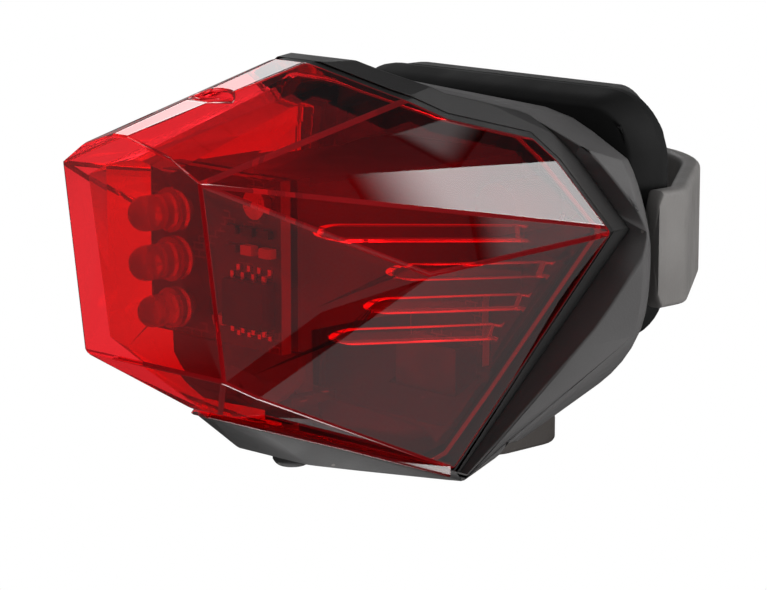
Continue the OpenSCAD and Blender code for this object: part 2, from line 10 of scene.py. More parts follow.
import bmesh
import bpy
import numpy as np
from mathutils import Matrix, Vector


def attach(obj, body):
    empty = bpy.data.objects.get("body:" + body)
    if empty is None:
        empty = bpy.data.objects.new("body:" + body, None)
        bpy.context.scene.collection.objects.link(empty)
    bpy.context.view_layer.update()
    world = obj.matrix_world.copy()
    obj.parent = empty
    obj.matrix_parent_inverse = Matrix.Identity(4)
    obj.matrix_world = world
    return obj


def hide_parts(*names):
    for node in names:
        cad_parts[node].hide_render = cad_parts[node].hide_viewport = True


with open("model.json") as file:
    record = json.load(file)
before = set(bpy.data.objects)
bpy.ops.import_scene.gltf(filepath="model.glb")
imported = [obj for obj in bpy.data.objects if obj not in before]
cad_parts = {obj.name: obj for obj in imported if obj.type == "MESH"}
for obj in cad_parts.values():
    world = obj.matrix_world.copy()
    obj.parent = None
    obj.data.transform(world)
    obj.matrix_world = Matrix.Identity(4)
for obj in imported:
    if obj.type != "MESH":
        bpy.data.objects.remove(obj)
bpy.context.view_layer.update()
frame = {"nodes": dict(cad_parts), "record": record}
nodes = frame["nodes"]
MM = 0.001

# %% [markdown]
# The camera stands where the photographer stood: turned 45 degrees to the side of the light, 11 degrees
# above it and 280 mm away, with a long lens, so the far side looks almost as large as the near side.
# The view is worked out for a picture of 767 by 590 pixels.

# %% Camera
PICTURE_WIDTH = 767
FOCAL_PIXELS = 3168.0
SENSOR_MM = 36.0
CAMERA_WAY = (45, 11)
CAMERA_MM = 280
AIM = Vector((0.0, -17.0, -6.5)) * MM


def outward(azimuth, elevation):
    """Unit vector from the object: azimuth 0 is the front (-Y), 90 is +X, and elevation is above level."""
    a, e = np.radians([azimuth, elevation])
    return Vector((np.sin(a) * np.cos(e), -np.cos(a) * np.cos(e), np.sin(e)))


def add_object(name, data):
    """Adds a mesh, lamp or camera to the scene as an object."""
    thing = bpy.data.objects.new(name, data)
    bpy.context.scene.collection.objects.link(thing)
    return thing


camera = add_object("camera", bpy.data.cameras.new("camera"))
camera.data.sensor_width = SENSOR_MM
camera.data.lens = FOCAL_PIXELS / PICTURE_WIDTH * SENSOR_MM
camera.data.clip_start = 0.01
camera.data.clip_end = 20.0
camera.location = AIM + outward(*CAMERA_WAY) * CAMERA_MM * MM
camera.rotation_euler = outward(*CAMERA_WAY).to_track_quat("Z", "Y").to_euler()
bpy.context.scene.camera = camera
print("lens", round(camera.data.lens, 1), "mm")

# %% [markdown]
# Every finish is a tree of shader nodes. A few short helpers keep those trees readable: one adds a node
# and fills its sockets, one makes a node group with named sockets, and one starts a material with its
# shader. The pattern nodes always read Object coordinates, which stay with the piece when it moves.

# %% Helpers for node trees
def fill(tree, node, inputs):
    """Links the input sockets that are given another socket, and sets the others to their values."""
    for key, value in inputs.items():
        if isinstance(value, bpy.types.NodeSocket):
            tree.links.new(value, node.inputs[key])
        else:
            node.inputs[key].default_value = value


def put(tree, kind, inputs=None, **settings):
    """Adds a node of a kind, sets its properties, and fills or links the input sockets that are named."""
    node = tree.nodes.new("ShaderNode" + kind)
    for key, value in settings.items():
        setattr(node, key, value)
    fill(tree, node, inputs or {})
    return node


def make_group(name, takes, gives):
    """A shader node group: takes maps input names to defaults (None for a vector), gives lists outputs."""
    tree = bpy.data.node_groups.new(name, "ShaderNodeTree")
    for key, value in takes.items():
        kind = "NodeSocketVector" if value is None else "NodeSocketFloat"
        socket = tree.interface.new_socket(key, in_out="INPUT", socket_type=kind)
        if value is not None:
            socket.default_value = value
    for key in gives:
        tree.interface.new_socket(key, in_out="OUTPUT", socket_type="NodeSocketFloat")
    return tree, tree.nodes.new("NodeGroupInput").outputs, tree.nodes.new("NodeGroupOutput").inputs


def use_group(tree, group, inputs):
    """Places a node group in a material with its own values."""
    node = tree.nodes.new("ShaderNodeGroup")
    node.node_tree = group
    fill(tree, node, inputs)
    return node.outputs


def start(name, **constants):
    """A new material: returns it with its tree, its Principled shader and the Object coordinates."""
    material = bpy.data.materials.new(name)
    material.use_nodes = True
    tree = material.node_tree
    shader = tree.nodes["Principled BSDF"]
    for key, value in constants.items():
        shader.inputs[key.replace("_", " ")].default_value = value
    where = tree.nodes.new("ShaderNodeTexCoord").outputs["Object"]
    return material, tree, shader, where


def shade(tree, mask, low, high):
    """Colour that goes from low to high with the mask."""
    node = put(tree, "MixRGB", {"Fac": mask, "Color1": (*low, 1), "Color2": (*high, 1)})
    return node.outputs["Color"]


print("helpers ready")

# %% [markdown]
# Moulded plastic is never perfectly even. The tool it was cast in leaves a fine grain, hands leave soft
# patches of different gloss, and dust settles on it. These three effects are on nearly every piece, so
# each is a node group that is built once and placed with its own scale in each material.

# %% Shared effects
grain, g_in, g_out = make_group("mould_grain", {"Vector": None, "Scale": 3000.0}, ["Height"])
coarse = put(grain, "TexNoise", {"Vector": g_in["Vector"], "Scale": g_in["Scale"], "Detail": 2.0})
cells = put(grain, "TexVoronoi", {"Vector": g_in["Vector"], "Scale": g_in["Scale"]})
both = put(grain, "Math", {0: coarse.outputs[0], 1: cells.outputs["Distance"]}, operation="ADD")
grain.links.new(both.outputs[0], g_out["Height"])

handling, h_in, h_out = make_group(
    "handling_marks", {"Vector": None, "Low": 0.3, "High": 0.5, "Scale": 90.0}, ["Value"]
)
smear = put(handling, "TexNoise", {"Vector": h_in["Vector"], "Scale": h_in["Scale"], "Detail": 5.0})
spread = put(
    handling,
    "MapRange",
    {"Value": smear.outputs[0], "From Min": 0.3, "From Max": 0.7,
     "To Min": h_in["Low"], "To Max": h_in["High"]},
)
handling.links.new(spread.outputs[0], h_out["Value"])

dust, d_in, d_out = make_group("dust_specks", {"Vector": None, "Scale": 900.0, "Share": 0.03}, ["Mask"])
seeds = put(dust, "TexVoronoi", {"Vector": d_in["Vector"], "Scale": d_in["Scale"]})
pick = put(dust, "SeparateColor", {"Color": seeds.outputs["Color"]})
chosen = put(dust, "Math", {0: pick.outputs[0], 1: d_in["Share"]}, operation="LESS_THAN")
core = put(dust, "Math", {0: seeds.outputs["Distance"], 1: 0.16}, operation="LESS_THAN")
speck = put(dust, "Math", {0: chosen.outputs[0], 1: core.outputs[0]}, operation="MULTIPLY")
dust.links.new(speck.outputs[0], d_out["Mask"])
print("shared effects:", [g.name for g in bpy.data.node_groups])

# %% [markdown]
# Most of the hard parts are moulded in dark plastic, and the soft ones in dark rubber. They differ in
# colour, gloss and grain size, so one recipe makes them all: two near shades mixed by the smears, a
# roughness that follows the smears, a bump from the grain, and pale specks of dust.

# %% Recipe for moulded plastic and rubber
DUST_GREY = (0.17, 0.16, 0.15, 1)
GRAIN_DEPTH = 0.00002


def moulded(name, dark, light, rough, grain_scale, bump, share=0.008, smear_scale=90.0, **constants):
    """Plastic or rubber: colour between dark and light, roughness between two values, grain and dust."""
    material, tree, shader, where = start(name, **constants)
    tone = use_group(tree, handling, {"Vector": where, "Low": 0.0, "High": 1.0, "Scale": smear_scale})
    base = shade(tree, tone["Value"], dark, light)
    specks = use_group(tree, dust, {"Vector": where, "Share": share})
    dusty = put(tree, "MixRGB", {"Fac": specks["Mask"], "Color1": base, "Color2": DUST_GREY})
    tree.links.new(dusty.outputs[0], shader.inputs["Base Color"])
    gloss = use_group(
        tree, handling, {"Vector": where, "Low": rough[0], "High": rough[1], "Scale": 2.3 * smear_scale}
    )
    tree.links.new(gloss["Value"], shader.inputs["Roughness"])
    height = use_group(tree, grain, {"Vector": where, "Scale": grain_scale})
    relief = put(tree, "Bump", {"Height": height["Height"], "Strength": bump, "Distance": GRAIN_DEPTH})
    tree.links.new(relief.outputs[0], shader.inputs["Normal"])
    return material


print("recipe for moulded pieces ready")

# %% Finishes of the hard shells and the rubber
finish = {}
finish["housing_black"] = moulded(
    "housing_black", (0.06, 0.058, 0.058), (0.076, 0.074, 0.074), (0.42, 0.54), 5200, 0.25,
    Specular_IOR_Level=0.22,
)
finish["bracket_black"] = moulded(
    "bracket_black", (0.006, 0.006, 0.006), (0.01, 0.01, 0.01), (0.58, 0.7), 4200, 0.2,
    Specular_IOR_Level=0.18,
)
finish["bezel_grey"] = moulded(
    "bezel_grey", (0.016, 0.016, 0.016), (0.026, 0.025, 0.025), (0.45, 0.58), 6000, 0.25,
    Specular_IOR_Level=0.3,
)
finish["carrier_black"] = moulded(
    "carrier_black", (0.07, 0.068, 0.068), (0.1, 0.097, 0.096), (0.45, 0.6), 4500, 0.4
)
finish["peg_black"] = moulded(
    "peg_black", (0.015, 0.015, 0.015), (0.03, 0.03, 0.03), (0.35, 0.5), 5000, 0.3
)
finish["strap_rubber"] = moulded(
    "strap_rubber", (0.105, 0.1, 0.096), (0.14, 0.134, 0.129), (0.42, 0.56), 3200, 0.6, 0.02, 140.0
)
finish["pad_rubber"] = moulded(
    "pad_rubber", (0.02, 0.02, 0.02), (0.035, 0.034, 0.033), (0.55, 0.7), 2600, 0.7, 0.05
)
finish["cover_rubber"] = moulded(
    "cover_rubber", (0.032, 0.028, 0.026), (0.045, 0.04, 0.037), (0.48, 0.62), 3000, 0.6, 0.04
)
finish["button_rubber"] = moulded(
    "button_rubber", (0.02, 0.019, 0.019), (0.034, 0.032, 0.032), (0.5, 0.64), 3200, 0.6, 0.04
)
finish["seal_rubber"] = moulded(
    "seal_rubber", (0.006, 0.006, 0.006), (0.012, 0.012, 0.012), (0.5, 0.7), 3000, 0.5
)
print(len(finish), "finishes")

# %% [markdown]
# The lens is clear red plastic. Light bends on the way in and out and loses its green and blue at each
# surface, so the white ground seen through two walls looks pure red and the board inside looks dim. A
# transmission shader with a red colour does this. Flow of the melt leaves very faint paler streaks.

# %% Finish of the red lens
def clear_red(name, bend, glow):
    """Clear red plastic with an index of bend, a faint painted glow, a gloss coat, flow streaks and polish.
    """
    material, tree, shader, where = start(
        name, IOR=bend, Transmission_Weight=1.0, Coat_Weight=1.0, Coat_Roughness=0.01, Coat_IOR=1.5,
        Emission_Color=(1.0, 0.01, 0.02, 1), Emission_Strength=glow,
    )
    flow = use_group(tree, handling, {"Vector": where, "Low": 0.0, "High": 1.0, "Scale": 40.0})
    tint = shade(tree, flow["Value"], (0.86, 0.014, 0.022), (0.9, 0.02, 0.03))
    tree.links.new(tint, shader.inputs["Base Color"])
    polish = use_group(tree, handling, {"Vector": where, "Low": 0.0, "High": 0.03, "Scale": 120.0})
    tree.links.new(polish["Value"], shader.inputs["Roughness"])
    return material


finish["lens_red"] = clear_red("lens_red", 1.02, 0.0)
# The edge finish has a faint painted red glow and the rib finish a strong one; the plain lens has none.
edge_red_painted_glow = clear_red("edge_red_painted_glow", 1.3, 0.1)
rib_red_painted_glow = clear_red("rib_red_painted_glow", 1.49, 1.0)
# Painted glow on the ribs: a dim red behind, growing to full red towards the front of the lens.
PAINTED_GLOW_STARTS = -15 * MM
PAINTED_GLOW_FULL = -22 * MM
tree = rib_red_painted_glow.node_tree
axes = put(tree, "SeparateXYZ", {"Vector": tree.nodes["Texture Coordinate"].outputs["Object"]})
fade = put(tree, "MapRange", {"Value": axes.outputs["Y"], "From Min": PAINTED_GLOW_STARTS, "From Max": PAINTED_GLOW_FULL})
painted_rib_glow = shade(tree, fade.outputs[0], (0.15, 0.001, 0.002), (1.0, 0.008, 0.016))
tree.links.new(painted_rib_glow, tree.nodes["Principled BSDF"].inputs["Emission Color"])
print("lens finishes ready")

# %% [markdown]
# Behind the lens sit metal and electronic parts. Metals share one recipe, in which colour and gloss follow
# fine smears over a faint grain. The circuit board is a laminate with copper lines under a coat, so its
# colour comes from a pattern of straight tracks and small square pads.

# %% Finishes of metal and small parts
def metal(name, low, high, rough, scale):
    """Metal whose colour and roughness follow fine smears."""
    material, tree, shader, where = start(name, Metallic=1.0)
    tone = use_group(tree, handling, {"Vector": where, "Low": 0.0, "High": 1.0, "Scale": scale})
    tree.links.new(shade(tree, tone["Value"], low, high), shader.inputs["Base Color"])
    gloss = use_group(
        tree, handling, {"Vector": where, "Low": rough[0], "High": rough[1], "Scale": 3 * scale}
    )
    tree.links.new(gloss["Value"], shader.inputs["Roughness"])
    height = use_group(tree, grain, {"Vector": where, "Scale": 6000.0})
    relief = put(tree, "Bump", {"Height": height["Height"], "Strength": 0.25, "Distance": GRAIN_DEPTH / 2})
    tree.links.new(relief.outputs[0], shader.inputs["Normal"])
    return material


finish["screw_steel"] = metal("screw_steel", (0.5, 0.5, 0.52), (0.65, 0.65, 0.67), (0.25, 0.4), 400)
finish["socket_steel"] = metal("socket_steel", (0.07, 0.07, 0.075), (0.11, 0.11, 0.115), (0.3, 0.45), 300)
finish["tinned_lead"] = metal("tinned_lead", (0.65, 0.65, 0.64), (0.8, 0.8, 0.79), (0.2, 0.4), 900)
finish["insert_brass"] = metal("insert_brass", (0.7, 0.5, 0.2), (0.85, 0.63, 0.3), (0.25, 0.4), 400)
finish["cell_foil"] = metal("cell_foil", (0.06, 0.065, 0.075), (0.1, 0.105, 0.115), (0.35, 0.5), 200)
finish["chip_black"] = moulded(
    "chip_black", (0.012, 0.012, 0.012), (0.022, 0.022, 0.022), (0.4, 0.55), 7000, 0.4
)
finish["resistor_black"] = moulded(
    "resistor_black", (0.02, 0.02, 0.02), (0.04, 0.04, 0.04), (0.3, 0.5), 8000, 0.3
)
finish["capacitor_tan"] = moulded(
    "capacitor_tan", (0.42, 0.3, 0.18), (0.52, 0.4, 0.26), (0.35, 0.5), 8000, 0.3
)
finish["plunger_cream"] = moulded(
    "plunger_cream", (0.6, 0.57, 0.48), (0.7, 0.67, 0.58), (0.4, 0.55), 5000, 0.3
)
finish["wire_red"] = moulded("wire_red", (0.4, 0.015, 0.015), (0.55, 0.025, 0.02), (0.35, 0.5), 6000, 0.2)
finish["wire_black"] = moulded("wire_black", (0.01, 0.01, 0.01), (0.02, 0.02, 0.02), (0.35, 0.5), 6000, 0.2)
print(len(finish), "finishes")

# %% Finishes of the boards and the diodes
QUARTER_TURN = 1.5708
COPPER_DEPTH = 0.00003


def board(name, coat, copper, core, half_x):
    """Dark coat with pale copper lines and pads in the board's plane, and a bare core on the side edges."""
    material, tree, shader, where = start(name, Coat_Weight=0.3)
    turn = put(tree, "Mapping", {"Vector": where, "Rotation": (QUARTER_TURN, 0, 0)})
    lines = put(
        tree,
        "TexBrick",
        {"Vector": turn.outputs[0], "Scale": 420.0, "Mortar Size": 0.03, "Mortar Smooth": 0.1,
         "Color1": (0, 0, 0, 1), "Color2": (0, 0, 0, 1), "Mortar": (0.35, 0.35, 0.35, 1)},
    )
    breaks = put(tree, "TexNoise", {"Vector": where, "Scale": 300.0, "Detail": 0.0})
    kept = put(tree, "Math", {0: breaks.outputs[0], 1: 0.6}, operation="GREATER_THAN")
    tracks = put(tree, "Math", {0: lines.outputs["Color"], 1: kept.outputs[0]}, operation="MULTIPLY")
    spots = put(tree, "TexVoronoi", {"Vector": turn.outputs[0], "Scale": 480.0}, distance="CHEBYCHEV")
    near = put(tree, "Math", {0: spots.outputs["Distance"], 1: 0.16}, operation="LESS_THAN")
    draw = put(tree, "SeparateColor", {"Color": spots.outputs["Color"]})
    picked = put(tree, "Math", {0: draw.outputs[0], 1: 0.3}, operation="LESS_THAN")
    pads = put(tree, "Math", {0: near.outputs[0], 1: picked.outputs[0]}, operation="MULTIPLY")
    metal_mask = put(tree, "Math", {0: tracks.outputs[0], 1: pads.outputs[0]}, operation="MAXIMUM")
    face = put(tree, "MixRGB", {"Fac": metal_mask.outputs[0], "Color1": (*coat, 1), "Color2": (*copper, 1)})
    axes = put(tree, "SeparateXYZ", {"Vector": where})
    out_x = put(tree, "Math", {0: axes.outputs["X"]}, operation="ABSOLUTE")
    edge = put(tree, "Math", {0: out_x.outputs[0], 1: half_x * MM}, operation="GREATER_THAN")
    full = put(tree, "MixRGB", {"Fac": edge.outputs[0], "Color1": face.outputs[0], "Color2": (*core, 1)})
    tree.links.new(full.outputs[0], shader.inputs["Base Color"])
    gloss = use_group(tree, handling, {"Vector": where, "Low": 0.3, "High": 0.5, "Scale": 200.0})
    tree.links.new(gloss["Value"], shader.inputs["Roughness"])
    relief = put(tree, "Bump", {"Height": metal_mask.outputs[0], "Strength": 0.4, "Distance": COPPER_DEPTH})
    tree.links.new(relief.outputs[0], shader.inputs["Normal"])
    return material


finish["board_laminate"] = board(
    "board_laminate", (0.05, 0.045, 0.045), (0.3, 0.27, 0.24), (0.22, 0.2, 0.18), 8.0
)
finish["board_green"] = board("board_green", (0.02, 0.1, 0.05), (0.5, 0.45, 0.3), (0.7, 0.68, 0.6), 4.45)

material, tree, shader, where = start("diode_epoxy", IOR=1.53, Transmission_Weight=0.75)
cloud = use_group(tree, handling, {"Vector": where, "Low": 0.0, "High": 1.0, "Scale": 500.0})
epoxy = shade(tree, cloud["Value"], (0.85, 0.3, 0.28), (0.95, 0.45, 0.42))
tree.links.new(epoxy, shader.inputs["Base Color"])
gloss = use_group(tree, handling, {"Vector": where, "Low": 0.08, "High": 0.2, "Scale": 600.0})
tree.links.new(gloss["Value"], shader.inputs["Roughness"])
finish["diode_epoxy"] = material
print(len(finish), "finishes")

# %% [markdown]
# The record names one finish for each node. Every node takes its own, so nothing keeps the plain colour
# that it was packed with.

# %% Give each node its finish
node_slot = {entry["node"]: entry["material_slot"] for entry in frame["record"]["subparts"]}
for name, part in nodes.items():
    part.data.materials.clear()
    part.data.materials.append(finish[node_slot[name]])
print("finished nodes:", len(node_slot))

# %% [markdown]
# The hard shells come from the construction model as loose triangles with knife edges. Real mouldings
# have small rounds that catch the light. A merged copy of each shell, with flat facets joined again and
# a narrow bevel, keeps the shape and gives it those rounds.

# %% Rounded copies of the hard shells
BEVEL_STEPS = 2
MERGE_GAP = 0.00002
FLAT_DEGREES = 0.3


def smooth_faces(mesh, crease):
    """Shades all faces smooth, except over edges that turn by more than the crease angle in degrees."""
    mesh.polygons.foreach_set("use_smooth", np.ones(len(mesh.polygons), bool))
    mesh.set_sharp_from_angle(angle=np.radians(crease))


def rounded_shell(node, width, angle, body):
    """Copy of a node with its triangles merged, its flats dissolved and its edges bevelled by a width."""
    mesh = nodes[node].data.copy()
    work = bmesh.new()
    work.from_mesh(mesh)
    bmesh.ops.remove_doubles(work, verts=work.verts, dist=MERGE_GAP)
    bmesh.ops.dissolve_limit(
        work, angle_limit=np.radians(FLAT_DEGREES), verts=work.verts, edges=work.edges
    )
    bmesh.ops.triangulate(work, faces=[f for f in work.faces if len(f.verts) > 4])
    weight = work.edges.layers.float.new("bevel_weight_edge")
    for edge in work.edges:
        edge[weight] = float(edge.is_convex and edge.calc_face_angle(0.0) > np.radians(angle))
    work.to_mesh(mesh)
    work.free()
    smooth_faces(mesh, angle)
    piece = add_object(node + "_shell", mesh)
    bevel = piece.modifiers.new("edge round", "BEVEL")
    bevel.width = width * MM
    bevel.segments = BEVEL_STEPS
    bevel.limit_method = "WEIGHT"
    bevel.harden_normals = True
    bevel.use_clamp_overlap = False
    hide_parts(node)
    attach(piece, body)
    print(piece.name, len(mesh.polygons), "faces")
    return piece


lens = rounded_shell("lens", 0.26, 12, "light")
rounded_shell("lens_seal", 0.08, 25, "light")
rounded_shell("bezel", 0.15, 25, "light")
rounded_shell("housing", 0.2, 32, "light")
rounded_shell("bracket", 0.25, 30, "bracket")

# %% [markdown]
# A flat wall of the lens shows what is behind it almost unmoved, but a round edge or the side of a rib
# bends light far out of its way and shines. So the rounds of the bevel and the sides of the ribs, whose
# normals have little X in them, take finishes with a stronger bend and a painted red glow, faint on the
# rounds and strong on the ribs, that stands in for the light they catch.

# %% Shining edges and ribs of the lens, with a painted glow
RIBS = dict(inner=8, front=-36, back=-13.5, low=-9.5, high=4, most_x=0.35, most_y=0.7)
# Slot 1 is the bevel's finish and slot 2 the ribs' finish, both with a painted red glow.
lens.data.materials.append(edge_red_painted_glow)
lens.data.materials.append(rib_red_painted_glow)
lens.modifiers["edge round"].material = 1
middles = np.empty(len(lens.data.polygons) * 3)
lens.data.polygons.foreach_get("center", middles)
normals = np.empty(len(lens.data.polygons) * 3)
lens.data.polygons.foreach_get("normal", normals)
x, y, z = middles.reshape(-1, 3).T / MM
normal_x, normal_y, _ = normals.reshape(-1, 3).T
rib_sides = (np.abs(normal_x) < RIBS["most_x"]) & (normal_y < RIBS["most_y"])
in_y = (y > RIBS["front"]) & (y < RIBS["back"])
in_z = (z > RIBS["low"]) & (z < RIBS["high"])
ribs = rib_sides & (np.abs(x) > RIBS["inner"]) & in_y & in_z
lens.data.polygons.foreach_set("material_index", 2 * ribs.astype(np.int32))
print("rib faces:", int(ribs.sum()))

# %% [markdown]
# The rubber parts are soft shapes, so each is worked out as a surface: a grid of points in which rows
# run along the piece and columns run round its section. One helper turns such a grid into a closed mesh
# with a fan at each end, and makes sure that its faces point outwards.

# %% From a grid of points to a piece
WELD_GAP = 0.000001
CREASE_DEGREES = 50


def closed_mesh(name, grids, slot, body, node):
    """Piece from grids of points (rows, columns, 3) in mm: quads between the rows and fans at the ends."""
    points, faces, first = [], [], 0
    for grid in grids:
        rows, columns, _ = grid.shape
        index = first + np.arange(rows * columns).reshape(rows, columns)
        after = np.roll(index, -1, axis=1)
        quads = np.stack([index[:-1], after[:-1], after[1:], index[1:]], -1).reshape(-1, 4)
        middle = first + rows * columns
        caps = [
            np.stack([np.full(columns, middle), after[0], index[0]], -1),
            np.stack([np.full(columns, middle + 1), index[-1], after[-1]], -1),
        ]
        points += [grid.reshape(-1, 3), grid[0].mean(0)[None], grid[-1].mean(0)[None]]
        faces += quads.tolist() + caps[0].tolist() + caps[1].tolist()
        first = middle + 2
    mesh = bpy.data.meshes.new(name)
    mesh.from_pydata((np.concatenate(points) * MM).tolist(), [], faces)
    work = bmesh.new()
    work.from_mesh(mesh)
    bmesh.ops.remove_doubles(work, verts=work.verts, dist=WELD_GAP)
    bmesh.ops.recalc_face_normals(work, faces=work.faces)
    work.to_mesh(mesh)
    work.free()
    smooth_faces(mesh, CREASE_DEGREES)
    mesh.materials.append(finish[slot])
    piece = add_object(name, mesh)
    if node:
        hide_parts(node)
    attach(piece, body)
    print(name, len(mesh.polygons), "faces")


def rounded_section(half_a, half_b, radius, steps=6):
    """Rectangle with round corners as points (a, b): four quarter circles of the radius, in order."""
    t = np.radians(np.linspace(0, 90, steps))
    quarter = np.stack([np.cos(t), np.sin(t)], -1) * radius
    turns = []
    for k in range(4):
        c, s = np.cos(k * np.pi / 2), np.sin(k * np.pi / 2)
        centre = np.array([half_a - radius, half_b - radius]) * [[1, 1], [-1, 1], [-1, -1], [1, -1]][k]
        turns.append(quarter @ np.array([[c, s], [-s, c]]) + centre)
    return np.concatenate(turns)


print("surface helpers ready")

# %% [markdown]
# The strap is a flat rubber band. It leaves the bracket's side, turns in behind it, and runs round the
# back of the post. Its path is a leg, a small arc, a straight run and a large arc, mirrored on the other
# side, and its section is a rounded rectangle. The section is carried along the path.

# %% Strap
STRAP = dict(
    out=21.4, thick=1.8, width=10.3, end=-4.7, bend=-1.8, turn=2.5, back=16.7, back_y=0.3, z=-1.4,
    corner=0.55, end_share=0.82,
)


def strap_path(count=150):
    """Centre line of the strap in X and Y: leg, side arc, straight run and back arc, evenly spaced."""
    half = STRAP["thick"] / 2
    side = np.array([STRAP["out"] - STRAP["turn"], STRAP["bend"]])
    back = np.array([0.0, STRAP["back_y"]])
    gap = back - side
    stop = np.arctan2(gap[1], gap[0]) - np.arccos((STRAP["turn"] - STRAP["back"]) / np.hypot(*gap))
    a = np.linspace(0, stop, 14)[:, None]
    b = np.linspace(stop, np.pi / 2, 60)[:, None]
    leg = np.stack([np.full(10, STRAP["out"] - half), np.linspace(STRAP["end"], STRAP["bend"], 10)], -1)
    one = side + (STRAP["turn"] - half) * np.hstack([np.cos(a), np.sin(a)])
    two = back + (STRAP["back"] - half) * np.hstack([np.cos(b), np.sin(b)])
    near = np.concatenate([leg, one[1:], two])
    line = np.concatenate([near, near[::-1][1:] * [-1, 1]])
    run = np.r_[0, np.cumsum(np.hypot(*np.diff(line, axis=0).T))]
    s = np.linspace(0, run[-1], count)
    return np.stack([np.interp(s, run, line[:, 0]), np.interp(s, run, line[:, 1])], -1)


path = strap_path()
along = np.gradient(path, axis=0)
along /= np.linalg.norm(along, axis=1, keepdims=True)
across = np.stack([along[:, 1], -along[:, 0]], -1)
section = rounded_section(STRAP["thick"] / 2, STRAP["width"] / 2, STRAP["corner"])
shrink = np.ones(len(path))
shrink[[0, -1]] = STRAP["end_share"]
flat = path[:, None] + across[:, None] * section[None, :, :1] * shrink[:, None, None]
rise = STRAP["z"] + np.broadcast_to(section[None, :, 1:], (*flat.shape[:2], 1)) * shrink[:, None, None]
closed_mesh("strap_band", [np.concatenate([flat, rise], -1)], "strap_rubber", "bracket", "strap")

# %% [markdown]
# The saddle pad is a rubber cushion on the bracket that grips the post. Its top rises to two crests and
# dips into a trough with the post's radius. The grid runs in rings from the middle of a rounded outline
# to its edge, the height is a function of the place, and a last ring goes down the wall to the back.

# %% Saddle pad
PAD = dict(
    half_x=18.0, half_z=11.2, corner=6.0, z=0.5, base=-1.1, edge=-0.1, crest=8.8, top=2.51, post=14.0,
    shoulder=1.8, groove=0.1, pitch=1.9, reach=11.0, round=0.5,
)


def pad_height(x, z):
    """Trough of the post's radius between the crests, straight slopes outside, and shallow grip grooves."""
    trough = PAD["post"] - np.sqrt(np.maximum(PAD["post"] ** 2 - x**2, 0))
    run = PAD["half_x"] - PAD["shoulder"] - PAD["crest"]
    slope = PAD["top"] - (PAD["top"] - PAD["edge"]) * (np.abs(x) - PAD["crest"]) / run
    top = np.minimum(np.minimum(trough, slope), PAD["top"])
    top = np.maximum(top, PAD["edge"])
    return top - PAD["groove"] * (0.5 + 0.5 * np.cos(2 * np.pi * z / PAD["pitch"])) ** 4


outline = rounded_section(PAD["half_x"], PAD["half_z"], PAD["corner"], 16)
rings = np.linspace(0.02, 1, 46)[:, None, None]
plane = outline[None] * rings
inset = np.clip((1 - rings) * PAD["reach"], 0, PAD["round"])
round_off = PAD["round"] - np.sqrt(np.maximum(PAD["round"] ** 2 - (PAD["round"] - inset) ** 2, 0))
height = pad_height(plane[..., :1], plane[..., 1:]) - round_off
crown = np.concatenate([plane[..., :1], height, plane[..., 1:] + PAD["z"]], -1)
foot = np.stack([outline[:, 0], np.full(len(outline), PAD["base"]), outline[:, 1] + PAD["z"]], -1)[None]
closed_mesh("saddle_grip", [np.concatenate([crown, foot])], "pad_rubber", "bracket", "saddle_pad")

# %% [markdown]
# The power button is a small rubber dome under the chin of the housing. It is a solid of revolution: a
# profile of radius and height is turned round the button's axis. A shallow dish in the middle tells the
# finger where it is.

# %% Power button
def turned(profile, centre, count=40):
    """Surface of revolution about an upright axis: each profile point (radius, height) becomes a ring."""
    t = np.linspace(0, 2 * np.pi, count, endpoint=False)
    ring = np.stack([np.cos(t), np.sin(t), np.zeros(count)], -1)
    lift = np.array([0, 0, 1.0])
    return profile[:, :1, None] * ring[None] + profile[:, 1:, None] * lift + np.array(centre)


BUTTON = dict(at=(0, -28.2, -19.4), dome=1.7, low=-0.6, rise=0.66, dish=0.12, dish_radius=0.7)
FLANGE = dict(radius=2.4, low=2.3, high=2.9, edge=0.05)
dome_r = np.linspace(FLANGE["edge"], BUTTON["dome"], 18)
bulge = BUTTON["rise"] * (dome_r / BUTTON["dome"]) ** 5
dish = BUTTON["dish"] * np.exp(-((dome_r / BUTTON["dish_radius"]) ** 2))
dome = np.stack([dome_r, BUTTON["low"] + bulge + dish], -1)
wall, rim, edge = BUTTON["dome"], FLANGE["radius"], FLANGE["edge"]
low, high = FLANGE["low"], FLANGE["high"]
under = [[wall, low - edge], [wall + edge, low], [rim - edge, low], [rim, low + edge]]
over = [[rim, high - edge], [rim - edge, high], [edge, high]]
dome_and_flange = turned(np.concatenate([dome, under, over]), BUTTON["at"])
closed_mesh("button_dome", [dome_and_flange], "button_rubber", "button", "power_button")

# %% [markdown]
# The port cover is a rubber flap under the housing that turns on a pin and shuts the charging port. Its
# plate is a rounded outline carried up through its thickness, drawn in at top and bottom. The knuckle
# round the pin is a tear-shaped section carried along the pin, and a tongue on top plugs the port.

# %% Port cover
COVER = dict(
    half=8.0, front=-11.85, back=-1.2, top=-18.3, low=-21.0, pin_y=-13.4, pin_z=-19.65, corner=3.0, edge=0.5
)
KNUCKLE = dict(half=3.6, radius=1.3, root=1.2, edge=0.15, end_share=0.94)
TONGUE = dict(x=(-3.0, 3.0), y=(-11.3, -9.7), sink=0.3, rise=1.1, corner=0.5, edge=0.25)


def soft_slab(x, y, z, corner, edge):
    """Block with round corners in plan, drawn in by a quarter circle at the top and the bottom."""
    t = np.radians(np.linspace(0, 90, 6))
    pull = edge * (1 - np.sin(t))
    rise = edge * (1 - np.cos(t))
    level = np.r_[z[0] + rise, z[1] - rise[::-1]]
    draw = np.r_[pull, pull[::-1]]
    rows = []
    for inward, lift in zip(draw, level):
        plan = rounded_section(
            (x[1] - x[0]) / 2 - inward, (y[1] - y[0]) / 2 - inward, max(corner - inward, 0.05), 8
        )
        place = plan + [(x[0] + x[1]) / 2, (y[0] + y[1]) / 2]
        rows.append(np.hstack([place, np.full((len(place), 1), lift)]))
    return np.stack(rows)


